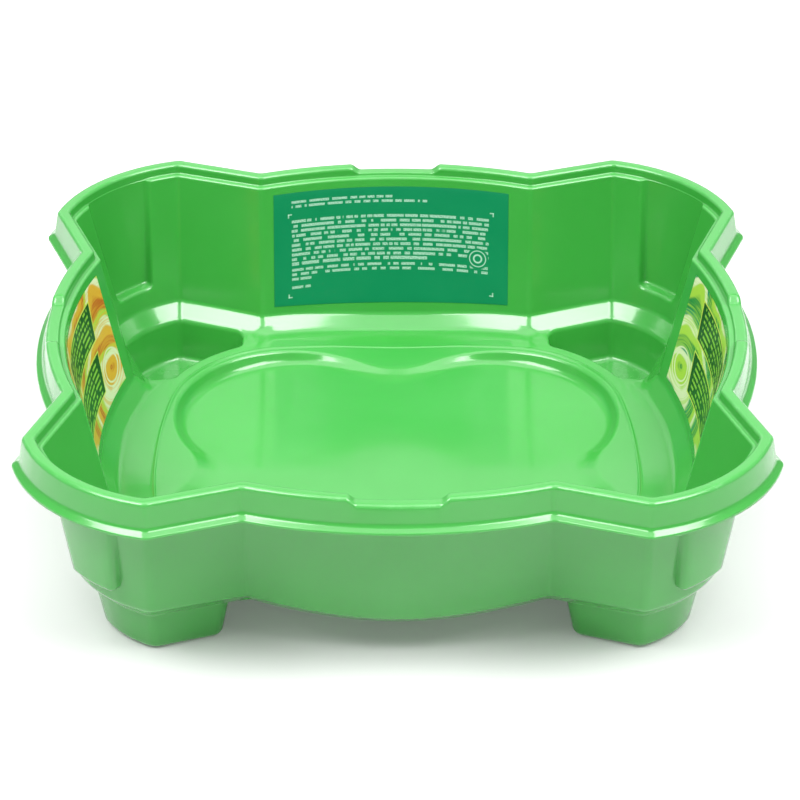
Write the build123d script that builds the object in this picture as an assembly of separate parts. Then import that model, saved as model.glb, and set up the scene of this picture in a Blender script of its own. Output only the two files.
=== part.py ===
from build123d import *
import math
import os

# A shallow square play tub, moulded in one piece, with three stuck-on labels.
# Millimetres. The four feet stand on Z = 0 and the Z axis runs up the middle.

# --- overall -------------------------------------------------------------
half_width = 215.0          # middle of the tub to the rim's eight corner points
height = 126.0              # ground to the top of the rim
wall = 2.0                  # moulded wall, the same all over

# --- plan outline of the rim ----------------------------------------------
side_setback = 4.0          # bulged side, inside the corner points
notch_setback = 19.0        # notch beside each corner, inside the corner points
corner_cut = 74.0           # corner point, back from the half width
notch_run = 53.7            # corner point to notch, along the side
corner_radius = 102.4       # arc round each corner of the rim
edge_round = 7.0            # rounding of the upright edges

# --- rim, skirt and ledge ---------------------------------------------------
rim_land = 7.4              # flat top of the rim
rim_bevel = 1.0             # broken edge of the rim
skirt_drop = 16.0           # skirt height
skirt_draft = 2.5           # how far the skirt leans out
lip_drop = 4.0              # flared lip below the skirt
lip_flare = 4.0             # how far the lip turns out
lip_edge = 1.0              # upright edge of the lip
ledge_drop = 6.0            # rim top to the inner ledge
ledge_lean = 0.6            # lean of the face above the ledge
ledge_width = 3.2           # inner ledge
dip_half = 24.0             # lowered stretch in the middle of each side
dip_ramp = 4.0              # ramp at each end of it, measured along the side
dip_depth = 4.0

# --- walls and floor ---------------------------------------------------------
draft = 0.205               # wall lean, run over drop
wall_foot = 37.6            # height of the crease where the wall meets the band
band_run = 9.7              # sloped band between wall and floor
floor_top = 28.0            # floor beside the corner wells
sag = 6.0                   # the floor is lower by this in the middle of a side
sag_half = 87.0             # half the length of that stretch

# --- bowl ----------------------------------------------------------------------
bowl_half = 139.5           # middle of the tub to the edge of a lobe
lobe_radius = 80.0
waist_radius = 42.0
bowl_floor = 18.0           # height of the bowl's flat floor
bowl_lean = 4.5             # how far the bowl's side leans in

# --- corner wells, which stand out below as feet ----------------------------------
well_land = 12.0            # floor left between the bowl and a well
well_end = 99.4             # middle of the tub to the end of a well
well_lean = 5.0             # how far the well's side leans in
well_round = 6.0
well_round_share = 0.6      # a well's corners are rounded by at most this share of its end

# --- recessed corner panels, which stand out outside as bosses ---------------------
panel_reach = 54.0          # the panel's upright edge, back from the half width
panel_rise = 13.4           # wall's foot to the panel's lower edge
panel_draft = 0.152         # panel lean, run over drop

# --- labels --------------------------------------------------------------------------
label_thickness = 0.25
label_half = 76.0           # half a label's length
back_label_shift = -3.0     # the back label sits this far off the middle
label_gap = 5.7             # ledge to a label's upper edge
label_rise = 3.4            # wall's foot to the ends of a label's lower edge
label_belly = 3.5           # the lower edge bows down by this

# --- worked out --------------------------------------------------------------------
corner_x = half_width - corner_cut
notch_x = corner_x - notch_run
notch_y = half_width - notch_setback
side_apex = half_width - side_setback
side_rise = side_apex - notch_y
side_radius = (notch_x**2 + side_rise**2) / (2 * side_rise)
corner_sum = corner_x + half_width
corner_square = corner_x**2 + half_width**2 - corner_radius**2
corner_centre = (corner_sum - math.sqrt(corner_sum**2 - 2 * corner_square)) / 2
flank_angle = math.atan2(half_width - notch_y, notch_run)

ledge_inset = rim_land + ledge_lean + ledge_width
ledge_top = height - ledge_drop
foot_inset = ledge_inset + draft * (ledge_top - wall_foot)
floor_inset = foot_inset + band_run
reach = half_width + lip_flare + skirt_draft + 20

panel_start = half_width - panel_reach
panel_foot = wall_foot + panel_rise
label_top = ledge_top - label_gap
label_bottom = wall_foot + label_rise

lobe_centre = bowl_half - lobe_radius
waist_centre = lobe_centre + math.sqrt((lobe_radius + waist_radius)**2 - lobe_centre**2)
well_radius = lobe_radius + well_land


def flank_meets(inset, centre, radius, near):
    """Where the straight flank, moved in by inset, crosses a circle, at the point nearest to near."""
    along = (math.cos(flank_angle), math.sin(flank_angle))
    start = (notch_x + inset * along[1], notch_y - inset * along[0])
    to_start = (start[0] - centre[0], start[1] - centre[1])
    half = to_start[0] * along[0] + to_start[1] * along[1]
    root = math.sqrt(half**2 - to_start[0]**2 - to_start[1]**2 + radius**2)
    points = [(start[0] + s * along[0], start[1] + s * along[1]) for s in (-half - root, -half + root)]
    return min(points, key=lambda p: math.dist(p, near))


def quarter_turn(point, times):
    """The point turned clockwise about the middle, a quarter turn each time."""
    x, y = point
    for _ in range(times):
        x, y = y, -x
    return x, y


def outline(inset, level):
    """The rim's outline moved in by inset, as a face at a level, with its upright edges rounded."""
    side_centre = (0, side_apex - side_radius)
    corner_middle = (corner_centre, corner_centre)
    notch = flank_meets(inset, side_centre, side_radius - inset, (notch_x, notch_y - inset))
    corner = flank_meets(inset, corner_middle, corner_radius - inset, (corner_x, half_width - inset))
    diagonal = corner_centre + (corner_radius - inset) / math.sqrt(2)
    edges = []
    for side in range(4):
        left, top, right, tip, bend, far_tip, far_notch = [
            quarter_turn(point, side)
            for point in (
                (-notch[0], notch[1]),
                (0, side_apex - inset),
                notch,
                corner,
                (diagonal, diagonal),
                (corner[1], corner[0]),
                (notch[1], notch[0]),
            )
        ]
        edges.append(ThreePointArc(left, top, right))
        edges.append(Line(right, tip))
        edges.append(ThreePointArc(tip, bend, far_tip))
        edges.append(Line(far_tip, far_notch))
    face = make_face(edges)
    face = fillet(face.vertices(), edge_round)
    return Pos(0, 0, level) * face


def stack(profile, section=outline):
    """A solid through sections at the given (inset, level) pairs, from the top down."""
    return loft([section(inset, level) for inset, level in profile], ruled=True)


def bowl_outline(inset, level):
    """Four round lobes joined by four hollow waists, moved in by inset."""
    lobe = lobe_radius - inset
    waist = waist_radius + inset
    share = lobe / (lobe_radius + waist_radius)
    joint = (lobe_centre * (1 - share), lobe_centre + (waist_centre - lobe_centre) * share)
    diagonal = lobe_centre + lobe / math.sqrt(2)
    edges = []
    for side in range(4):
        left, middle, right, bend, far = [
            quarter_turn(point, side)
            for point in (
                (-joint[0], joint[1]),
                (0, waist_centre - waist),
                joint,
                (diagonal, diagonal),
                (joint[1], joint[0]),
            )
        ]
        edges.append(ThreePointArc(left, middle, right))
        edges.append(ThreePointArc(right, bend, far))
    return Pos(0, 0, level) * make_face(edges)


def well_outline(inset, level):
    """One corner well: inside the floor's outline, outside the lobe, with flat rounded ends."""
    start = well_end + inset
    size = reach - start
    quarter = Pos(start + size / 2, start + size / 2) * Rectangle(size, size)
    beside_lobe = Pos(lobe_centre, lobe_centre) * Circle(well_radius + inset)
    face = outline(floor_inset + inset, 0) & quarter
    face = face - beside_lobe
    sharp = [v for v in face.vertices() if min(v.X, v.Y) < start + 0.01 or is_on_lobe(v, inset)]
    end = min(edge.length for edge in face.edges() if is_end(edge, start))
    face = fillet(sharp, min(well_round, well_round_share * end))
    return Pos(0, 0, level) * face


def is_end(edge, start):
    """Whether an edge of a well's outline lies along one of its two flat ends."""
    return any(all(v < start + 0.01 for v in side) for side in zip(*[(p.X, p.Y) for p in edge.vertices()]))


def is_on_lobe(vertex, inset):
    """Whether a vertex lies on the well's side that follows the lobe."""
    gap = math.dist((vertex.X, vertex.Y), (lobe_centre, lobe_centre)) - well_radius - inset
    return abs(gap) < 0.01


def corner_block(start, low, high):
    """A square block over one corner of the tub, from start outwards."""
    size = reach - start
    return Pos(start + size / 2, start + size / 2, (low + high) / 2) * Box(size, size, high - low)


def four(solid):
    """The solid and its copies on the other three sides or corners."""
    return [Rot(0, 0, 90 * turn) * solid for turn in range(4)]


def dip(spare):
    """The space over the lowered stretch of rim, grown by spare below and at its ends."""
    low = height - dip_depth - spare
    high = height + dip_depth
    slope = dip_ramp / dip_depth
    end = dip_half + spare * (math.hypot(1, slope) - slope)
    points = [
        (-end, low),
        (end, low),
        (end + slope * (high - low), high),
        (-end - slope * (high - low), high),
    ]
    face = Plane.XZ * make_face(Polyline(*points, close=True))
    inner = side_apex - rim_land - ledge_width
    return Pos(0, reach, 0) * extrude(face, reach - inner)


def side_scoop(level):
    """The space above an arched floor that runs from the bowl out through one bulged side."""
    low = level - sag
    top = wall_foot + band_run
    edges = [
        ThreePointArc((-sag_half, level), (0, low), (sag_half, level)),
        Polyline((sag_half, level), (sag_half, top), (-sag_half, top), (-sag_half, level)),
    ]
    face = Plane.XZ * make_face(edges)
    return Pos(0, reach, 0) * extrude(face, reach - lobe_centre)


def rim_and_skirt():
    """The channel-shaped rim with its skirt and flared lip, lowered in the middle of each side."""
    skirt_foot = height - skirt_drop
    outer = stack([
        (rim_bevel, height),
        (0, height - rim_bevel),
        (-skirt_draft, skirt_foot),
        (-skirt_draft - lip_flare, skirt_foot - lip_drop + lip_edge),
        (-skirt_draft - lip_flare, skirt_foot - lip_drop),
    ])
    hollow = stack([
        (wall, height - wall),
        (wall - skirt_draft, skirt_foot - lip_edge),
        (wall - skirt_draft - lip_flare, skirt_foot - lip_drop),
    ])
    hollow = hollow - four(dip(wall))
    return outer - hollow


def body():
    """The outside of the walls, band and floor, with the collar that carries the ledge."""
    collar = stack([
        (rim_land - wall, height - rim_bevel),
        (rim_land + ledge_lean - wall, ledge_top - wall),
    ])
    shell = stack([
        (ledge_inset - wall, ledge_top - wall),
        (foot_inset - wall, wall_foot - wall),
        (floor_inset - wall, floor_top - wall),
    ])
    deep = stack([
        (ledge_inset - wall, ledge_top - wall),
        (foot_inset + draft * sag - wall, wall_foot - sag - wall),
        (floor_inset + draft * sag - wall, floor_top - sag - wall),
    ])
    return [collar, shell] + [deep & scoop for scoop in four(side_scoop(floor_top - wall))]


def cavity():
    """The space inside the tub, above its floor."""
    mouth = stack([
        (rim_land - rim_bevel, height),
        (rim_land, height - rim_bevel),
        (rim_land + ledge_lean, ledge_top),
    ])
    basin = stack([
        (ledge_inset, ledge_top),
        (foot_inset, wall_foot),
        (floor_inset, floor_top),
    ])
    deep = stack([
        (ledge_inset, ledge_top),
        (foot_inset + draft * sag, wall_foot - sag),
        (floor_inset + draft * sag, floor_top - sag),
    ])
    return [mouth, basin] + [deep & scoop for scoop in four(side_scoop(floor_top))]


def bowl(skin):
    """The bowl's recess, or with a skin the bulge of the same bowl under the floor."""
    profile = [(-skin, floor_top), (bowl_lean - skin, bowl_floor - skin)]
    return stack(profile, bowl_outline)


def well(skin):
    """One corner well, or with a skin the foot that it forms below."""
    profile = [(-skin, floor_top), (well_lean - skin, wall - skin)]
    return stack(profile, well_outline)


def corner_panel(skin):
    """One recessed corner panel, or with a skin the boss that it forms outside."""
    top = ledge_top - skin
    low = panel_foot - skin
    inset = rim_land + ledge_lean - skin
    panel = stack([(inset, top), (inset + panel_draft * (top - low), low)])
    return panel & corner_block(panel_start - skin, low, top)


def make_tub():
    """The whole moulding: outer forms joined, then the spaces above it cut out."""
    tub = rim_and_skirt()
    for solid in body() + [bowl(wall)] + four(well(wall)) + four(corner_panel(wall)):
        tub = tub + solid
    for space in cavity() + [bowl(0)] + four(well(0)) + four(corner_panel(0)) + four(dip(0)):
        tub = tub - space
    return tub


def make_label(turn, shift):
    """A thin printed label lying on the inner face of one bulged side, shifted along it."""
    low = label_bottom - label_belly
    run = draft * (ledge_top - low)
    face_of_wall = stack([(ledge_inset, ledge_top), (ledge_inset + run, low)])
    face_of_label = stack([
        (ledge_inset + label_thickness, ledge_top),
        (ledge_inset + run + label_thickness, low),
    ])
    left = shift - label_half
    right = shift + label_half
    edges = [
        ThreePointArc((left, label_bottom), (shift, low), (right, label_bottom)),
        Polyline((right, label_bottom), (right, label_top), (left, label_top), (left, label_bottom)),
    ]
    outline_face = Plane.XZ * make_face(edges)
    cutter = Pos(0, reach, 0) * extrude(outline_face, reach)
    return Rot(0, 0, 90 * turn) * ((face_of_wall - face_of_label) & cutter)


os.makedirs("parts", exist_ok=True)
export_step(make_tub(), "parts/tub.step")
for name, turn, shift in (
    ("back_label", 0, back_label_shift),
    ("left_label", 1, 0),
    ("right_label", 3, 0),
):
    export_step(make_label(turn, shift), "parts/" + name + ".step")
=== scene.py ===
import math

import bpy
import numpy as np
from mathutils import Matrix, Vector


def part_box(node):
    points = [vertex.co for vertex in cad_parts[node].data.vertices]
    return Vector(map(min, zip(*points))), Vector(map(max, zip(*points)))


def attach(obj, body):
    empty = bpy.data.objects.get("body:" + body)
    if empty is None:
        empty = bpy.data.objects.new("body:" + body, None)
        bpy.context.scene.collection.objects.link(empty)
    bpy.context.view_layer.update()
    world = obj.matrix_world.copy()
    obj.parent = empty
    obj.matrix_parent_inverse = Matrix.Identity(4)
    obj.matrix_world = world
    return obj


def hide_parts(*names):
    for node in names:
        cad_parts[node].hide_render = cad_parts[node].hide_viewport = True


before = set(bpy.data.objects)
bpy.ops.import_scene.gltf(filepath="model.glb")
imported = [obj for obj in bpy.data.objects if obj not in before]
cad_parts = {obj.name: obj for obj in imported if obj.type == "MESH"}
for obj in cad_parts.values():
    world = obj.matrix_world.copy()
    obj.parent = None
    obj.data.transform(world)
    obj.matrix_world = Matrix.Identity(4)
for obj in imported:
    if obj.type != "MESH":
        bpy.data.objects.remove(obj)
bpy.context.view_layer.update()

bl_info = {
    "name": "Square play tub",
    "version": (1, 0, 0),
    "blender": (4, 5, 0),
    "location": "View3D > Sidebar > Play tub",
    "description": "Makes a one-piece moulded play tub with its printed labels, and a plain stage for it",
    "category": "Add Mesh",
}

MM = 0.001                                   # lengths are worked out in millimetres
_, TUB_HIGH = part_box("tub")
BODY = "root"                                # one rigid body: nothing moves
LIP_REACH = 6.5                              # how far the lip stands out past the rim


# --- Sizes and colours that a user would change ---

def length(name, description, millimetres):
    """A length property, given in millimetres and kept in metres."""
    return bpy.props.FloatProperty(
        name=name, description=description, default=millimetres * MM, unit="LENGTH", precision=4
    )


def colour(name, description, red, green, blue):
    """A colour property in linear light."""
    return bpy.props.FloatVectorProperty(
        name=name, description=description, default=(red, green, blue), size=3, min=0, max=1, subtype="COLOR"
    )


class TubSizes(bpy.types.PropertyGroup):
    """The tub's driving sizes."""
    half_width: length("Half width", "Middle of the tub to the rim's corner points",
                       round(TUB_HIGH.x / MM - LIP_REACH))
    height: length("Height", "Ground to the top of the rim", TUB_HIGH.z / MM)
    wall: length("Wall", "Thickness of the moulding", 2.0)
    side_setback: length("Side setback", "Bulged side, inside the corner points", 4.0)
    notch_setback: length("Notch setback", "Notch beside each corner, inside the corner points", 19.0)
    corner_cut: length("Corner cut", "Corner point, back from the half width", 74.0)
    notch_run: length("Notch run", "Corner point to notch, along the side", 53.7)
    corner_radius: length("Corner radius", "Arc round each corner of the rim", 102.4)
    edge_round: length("Edge rounding", "Rounding of the upright edges", 7.0)
    rim_land: length("Rim land", "Flat top of the rim", 7.4)
    skirt_drop: length("Skirt drop", "Height of the skirt", 15.8)
    skirt_draft: length("Skirt draft", "How far the skirt leans out", 2.5)
    ledge_drop: length("Ledge drop", "Rim top to the inner ledge", 6.0)
    dip_half: length("Dip half length", "Half the lowered stretch of rim on each side", 26.0)
    dip_depth: length("Dip depth", "How far the rim is lowered there", 4.0)
    wall_foot: length("Wall foot", "Height of the crease where the wall meets the sloped band", 37.6)
    floor_top: length("Floor height", "Height of the floor beside the wells", 28.0)
    sag: length("Floor sag", "How much lower the floor is in the middle of a side", 6.0)
    lobe_radius: length("Lobe radius", "Radius of the bowl's four lobes", 80.0)
    well_end: length("Well end", "Middle of the tub to the flat end of a corner well", 99.4)
    bowl_floor: length("Bowl floor", "Height of the bowl's floor", 18.0)
    bead_height: length("Bead height", "Fine raised line round the bowl", 0.9)


class LabelSizes(bpy.types.PropertyGroup):
    """The sizes of the printed labels."""
    half: length("Half length", "Half a label's length", 76.0)
    back_shift: length("Back label shift", "How far the back label sits off the middle", -3.0)
    top: length("Upper edge", "Height of a label's upper edge", 114.3)
    bottom: length("Lower edge", "Height of the ends of a label's lower edge", 41.0)
    belly: length("Belly", "How far the lower edge bows down", 3.5)
    film: length("Film", "Thickness of the printed film", 0.2)


class Finish(bpy.types.PropertyGroup):
    """The colours of the moulding, the prints and the stage."""
    moulding: colour("Moulding", "The green plastic", 0.050, 0.345, 0.055)
    moulding_deep: colour("Moulding, deep", "The same plastic where it is a little denser",
                          0.040, 0.315, 0.043)
    # paler green laid on the sharp rounded edges as a painted highlight together with scuffing, and on the
    # feet's undersides as real scuffing
    worn_and_highlit: colour("Worn edge", "Where handling has paled the edges", 0.12, 0.43, 0.13)
    back_ground: colour("Back label", "The back label's ground", 0.0, 0.20, 0.080)
    print_ink: colour("Print", "The pale ink of the rows", 0.46, 0.66, 0.57)
    floor: colour("Stage floor", "The pale floor", 0.68, 0.68, 0.68)


# --- Plan outlines ---

def smooth_step(low, high, value):
    """0 below low, 1 above high, and a cubic ease between them."""
    t = np.clip((value - low) / (high - low), 0, 1)
    return t * t * (3 - 2 * t)


def soft_max(a, b, reach):
    """The greater of two values, with the kink between them rounded where they differ by under reach."""
    overlap = np.clip(reach - np.abs(a - b), 0, None) / reach
    return np.maximum(a, b) + overlap**2 * reach / 4


def bearing(vector):
    """Angle of a plan vector, measured from +X."""
    return np.arctan2(vector[..., 1], vector[..., 0])


def heading(angle):
    """Unit plan vector at an angle from +X: its cosine and its sine."""
    return np.stack([np.cos(angle), np.sin(angle)], -1)


def ray_at(angle):
    """Unit plan vector at an angle from +Y: its sine and its cosine."""
    return heading(angle)[..., ::-1]


def side_share(angle, power):
    """1 in the middle of a side and 0 on the diagonals: a raised cosine, to a power."""
    return ((1 + np.cos(4 * angle)) / 2)**power


def with_level(plan, level):
    """Plan points with their level as the third coordinate."""
    level = np.broadcast_to(level, plan.shape[:-1])
    return np.concatenate([plan, level[..., None]], axis=-1)


def mirrored(eighth):
    """The columns between an eighth's first and last, backwards and mirrored in the diagonal."""
    back = eighth[:, -2:0:-1].copy()
    back[..., [0, 1]] = back[..., [1, 0]]
    return back


class Plan:
    """The tub's plan: outlines parallel to the rim, the bowl, the bead round it and the corner wells.

    Everything is worked out for one eighth of the tub, from the middle of the side at +Y to the
    corner's diagonal, and then mirrored and turned. Lengths are millimetres.
    """

    PANEL_REACH = 54.0          # a corner panel's upright edge, back from the half width
    PANEL_EASE = 3.0            # half the width of the rounded step at that edge
    PANEL_DEEPEST = 25.5        # inset of the wall at the panel's foot
    DIP_RAMP = 3.3              # half the length of the ramp at each end of a lowered stretch
    DIP_LEAD = 5.6              # the evenly spaced columns end this far before its end
    DIP_TRAIL = 2.0             # and the last column at a fixed place is this far past the ramp
    BOWL_HALF = 139.5
    WAIST_RADIUS = 42.0
    BEAD_GAP = 4.0              # bowl's edge to the bead, round a lobe
    BEAD_MIDDLE = 149.0         # middle of the tub to the bead, in the middle of a side
    WELL_LAND = 12.0            # floor left between the bowl and a well
    WELL_ROUND = 8.0            # rounding of the well's flat end
    WELL_ROUND_FALL = 0.5       # which shrinks by this for each millimetre of inset
    WELL_INNER_STEPS = 8        # columns round the rounding next to the bowl
    TIP_KINK = 1.3              # four times what the rounding at the corner point takes off
    NOTCH_KINK = 1.7            # and at the notch

    def __init__(self, sizes):
        for name in TubSizes.__annotations__:
            setattr(self, name, getattr(sizes, name) / MM)
        self.corner_x = self.half_width - self.corner_cut
        self.notch = np.array([self.corner_x - self.notch_run, self.half_width - self.notch_setback])
        self.side_apex = self.half_width - self.side_setback
        rise = self.side_apex - self.notch[1]
        self.side_radius = (self.notch[0]**2 + rise**2) / (2 * rise)
        self.side_middle = np.array([0, self.side_apex - self.side_radius])
        total = self.corner_x + self.half_width
        square = self.corner_x**2 + self.half_width**2 - self.corner_radius**2
        self.corner_middle = np.full(2, (total - math.sqrt(total**2 - 2 * square)) / 2)
        angle = math.atan2(self.notch_setback, self.notch_run)
        self.along = np.array([math.cos(angle), math.sin(angle)])
        self.out = np.array([-math.sin(angle), math.cos(angle)])
        self.lobe_middle = np.full(2, self.BOWL_HALF - self.lobe_radius)
        lobe = self.lobe_middle[0]
        reach = self.lobe_radius + self.WAIST_RADIUS
        self.waist_middle = np.array([0, lobe + math.sqrt(reach**2 - lobe**2)])
        self.bead_radius = self.lobe_radius + self.BEAD_GAP
        # the bead's long arc touches the two lobes' beads from outside and passes BEAD_MIDDLE
        apart = self.BEAD_MIDDLE - self.bead_radius
        drop = (2 * lobe**2 - apart**2) / (2 * (apart - lobe))
        self.bead_long_radius = self.BEAD_MIDDLE + drop
        self.bead_long_middle = np.array([0, -drop])
        self.well_radius = self.lobe_radius + self.WELL_LAND
        self._columns()

    def _columns(self):
        """The columns of one eighth: which stretch of the outline each lies on and how far along it.

        The stretches are 0 the bulged side, 1 the rounding at the notch, 2 the flank, 3 the rounding
        at the corner point and 4 the corner's arc. On 0 and 4 a column lies at a share of the start,
        plus a fixed place, plus a share of the end; on the others at a share of the stretch.
        """
        ramp = np.linspace(-1, 1, 6) * self.DIP_RAMP
        fixed = np.concatenate([np.linspace(0, self.dip_half - self.DIP_LEAD, 4), self.dip_half + ramp])
        last = fixed[-1] + self.DIP_TRAIL
        panel = self.half_width - self.PANEL_REACH
        ease = np.linspace(-self.PANEL_EASE, self.PANEL_EASE, 6)
        rows = [(0, 0, x, 0) for x in np.append(fixed, last)]
        rows += [(0, 0, last * (1 - t), t) for t in np.arange(1, 9) / 9]
        rows += [(1, t, 0, 0) for t in np.arange(7) / 7]
        rows += [(2, t, 0, 0) for t in np.arange(6) / 6]
        rows += [(3, t, 0, 0) for t in np.arange(7) / 7]
        rows += [(4, 1 - t, (panel + ease[0]) * t, 0) for t in np.arange(3) / 3]
        rows += [(4, 0, panel + e, 0) for e in ease]
        rows += [(4, 0, (panel + ease[-1]) * (1 - t), t) for t in np.arange(1, 6) / 5]
        table = np.array(rows)
        self.stretch = table[:, 0].astype(int)
        self.share = table[:, 1]
        self.fixed = table[:, 2]
        self.end_share = table[:, 3]
        self.eighth_count = len(rows)
        self.hole_start = int(np.flatnonzero(self.stretch == 0)[-1])
        self.flank_start = int(np.flatnonzero(self.stretch == 2)[0])

    # -- parallel outlines --

    def _exit(self, start, middle, radius):
        """Where a ray from start along the flank leaves a circle."""
        to_start = start - middle
        half = to_start @ self.along
        root = np.sqrt(half**2 - (to_start**2).sum(-1) + radius**2)
        return start + (root - half)[..., None] * self.along

    def _joints(self, inset):
        """The centres of the two roundings beside a flank, and where each touches its neighbours."""
        r = self.edge_round
        start = self.notch - inset[..., None] * self.out
        side = self.side_radius - inset
        corner = self.corner_radius - inset
        notch = self._exit(start + r * self.out, self.side_middle, side + r)
        tip = self._exit(start - r * self.out, self.corner_middle, corner - r)
        on_side = self.side_middle + (notch - self.side_middle) * (side / (side + r))[..., None]
        on_corner = self.corner_middle + (tip - self.corner_middle) * (corner / (corner - r))[..., None]
        return notch, on_side, notch - r * self.out, tip, tip + r * self.out, on_corner

    @staticmethod
    def _arc(middle, first, last, radius, share):
        """Points on a circle from the angle of first to that of last, both seen from the middle."""
        a = bearing(first - middle)
        b = bearing(last - middle)
        angle = a + share * (b - a)
        return middle + radius[..., None] * heading(angle)

    def eighth(self, inset):
        """Points of the outline moved in by inset, for one eighth. inset is rows by columns."""
        notch, on_side, flank_a, tip, flank_b, on_corner = self._joints(inset)
        share = np.broadcast_to(self.share, inset.shape)
        r = np.full(inset.shape, self.edge_round)
        # bulged side: columns at fixed places along the side, then shares of what is left
        x = self.fixed + self.end_share * on_side[..., 0]
        side = np.stack([x, self.side_middle[1] + np.sqrt((self.side_radius - inset)**2 - x**2)], -1)
        first = self._arc(notch, on_side, flank_a, r, share)
        flank = flank_a + share[..., None] * (flank_b - flank_a)
        second = self._arc(tip, flank_b, on_corner, r, share)
        # corner arc: the same at the panel's edges, and below the panel the same shares of the arc
        shallow = np.minimum(inset, self.PANEL_DEEPEST)
        radius = self.corner_radius - shallow
        turn = self._joints(shallow)[5] - self.corner_middle
        start = bearing(turn)
        diagonal = self.corner_middle[0] + radius / math.sqrt(2)
        x = self.share * (turn[..., 0] + self.corner_middle[0]) + self.fixed + self.end_share * diagonal
        angle = np.arccos(np.clip((x - self.corner_middle[0]) / radius, -1, 1))
        part = (start - angle) / (start - math.pi / 4)
        start = bearing(on_corner - self.corner_middle)
        bend = heading(start - part * (start - math.pi / 4))
        corner = self.corner_middle + (self.corner_radius - inset)[..., None] * bend
        stretch = np.broadcast_to(self.stretch, inset.shape)[..., None]
        return np.choose(stretch, [side, first, flank, second, corner])

    def inset_at(self, x, y):
        """How far inside the rim's outline points of the first eighth lie.

        The inset from the side's circle, or from the nearer of the flank's line and the corner's
        circle where that is greater, with the kinks rounded.
        """
        point = np.stack([x, y], -1)
        side = self.side_radius - np.linalg.norm(point - self.side_middle, axis=-1)
        flank = -((point - self.notch) @ self.out)
        corner = self.corner_radius - np.linalg.norm(point - self.corner_middle, axis=-1)
        return soft_max(side, -soft_max(-flank, -corner, self.TIP_KINK), self.NOTCH_KINK)

    # -- bowl and bead --

    @staticmethod
    def _ray(angle, middle, radius, far):
        """Distance from the tub's middle to a circle, along a ray at an angle from +Y.

        The circle's middle projected on the ray, plus or minus half the chord that the ray cuts.
        """
        reach = middle[0] * np.sin(angle) + middle[1] * np.cos(angle)
        root = np.sqrt(np.clip(reach**2 - middle @ middle + radius**2, 0, None))
        return reach + root if far else reach - root

    def bowl_at(self, angle, inset):
        """The bowl's edge, moved in by inset, as a distance along a ray of the first eighth.

        The waist's circle up to the ray through its joint with the lobe's, and the lobe's after it.
        """
        lobe = self._ray(angle, self.lobe_middle, self.lobe_radius - inset, True)
        waist = self._ray(angle, self.waist_middle, self.WAIST_RADIUS + inset, False)
        share = (self.lobe_radius - inset) / (self.lobe_radius + self.WAIST_RADIUS)
        joint = self.lobe_middle[:, None] + (self.waist_middle - self.lobe_middle)[:, None] * np.ravel(share)
        joint_angle = np.arctan2(joint[0], joint[1]).reshape(np.shape(share))
        return np.where(angle < joint_angle, waist, lobe)

    def bead_at(self, angle):
        """The bead round the bowl, as a distance along a ray of the first eighth."""
        touch = np.arctan2(*(self.lobe_middle - self.bead_long_middle)) * np.ones_like(angle)
        point = self.bead_long_middle + self.bead_long_radius * ray_at(touch)
        limit = np.arctan2(point[..., 0], point[..., 1])
        long_arc = self._ray(angle, self.bead_long_middle, self.bead_long_radius, True)
        return np.where(angle < limit, long_arc, self._ray(angle, self.lobe_middle, self.bead_radius, True))

    # -- wells --

    def well_half(self, inset, floor_inset):
        """Half a well's outline for each inset, from the outer side's diagonal round to the inner one."""
        inset = np.asarray(inset, float)[:, None]
        columns = np.arange(self.eighth_count)
        depth = np.broadcast_to(floor_inset + inset, (len(inset), len(columns)))
        outer = self.eighth(depth)
        rounding = self.WELL_ROUND - self.WELL_ROUND_FALL * inset[:, 0]
        _, _, flank_a, _, flank_b, _ = self._joints(depth[:, 0])
        end = self.well_end + inset[:, 0]
        # the outer rounding touches the end and the flank
        steps = (end + rounding - (flank_a - rounding[:, None] * self.out)[:, 0]) / self.along[0]
        outer_middle = flank_a - rounding[:, None] * self.out + steps[:, None] * self.along
        touch = outer_middle + rounding[:, None] * self.out
        flank = self.stretch == 2
        outer[:, flank] = touch[:, None] + self.share[flank][:, None] * (flank_b - touch)[:, None]
        # the inner rounding touches the end and the circle round the lobe
        reach = self.well_radius + inset[:, 0] + rounding
        across = end + rounding - self.lobe_middle[0]
        inner_middle = np.stack([end + rounding, self.lobe_middle[1] + np.sqrt(reach**2 - across**2)], -1)
        first = math.atan2(self.out[1], self.out[0])
        count = self.flank_start - self.hole_start
        bend = first + (math.pi - first) * np.arange(1, count + 1) / count
        outer_arc = outer_middle[:, None] + rounding[:, None, None] * heading(bend)
        end_a = np.stack([end, outer_middle[:, 1]], -1)
        end_b = np.stack([end, inner_middle[:, 1]], -1)
        line = end_a[:, None] + np.array([0.5, 1.0])[:, None] * (end_b - end_a)[:, None]
        last = bearing(self.lobe_middle - inner_middle) % (2 * math.pi)
        count = self.WELL_INNER_STEPS
        bend = math.pi + (last - math.pi)[:, None] * np.arange(1, count + 1) / count
        inner_arc = inner_middle[:, None] + rounding[:, None, None] * heading(bend)
        first = bearing(inner_middle - self.lobe_middle)
        count = self.eighth_count - 1 - self.hole_start
        bend = first[:, None] + (math.pi / 4 - first)[:, None] * np.arange(1, count + 1) / count
        radius = (self.well_radius + inset[:, 0])[:, None, None]
        lobe_arc = self.lobe_middle + radius * heading(bend)
        backwards = outer[:, self.flank_start:][:, ::-1]
        return np.concatenate([backwards, outer_arc, line, inner_arc, lobe_arc], axis=1)


# --- Surfaces ---

SHARPEST = 6.0                               # turns the sharpness of a corner into how much its edge is paled: scuffing with a painted highlight
END_ROOM, INNER_ROOM = 0.96, 0.47            # share of a line that a rounding may use, at its ends and inside


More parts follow.
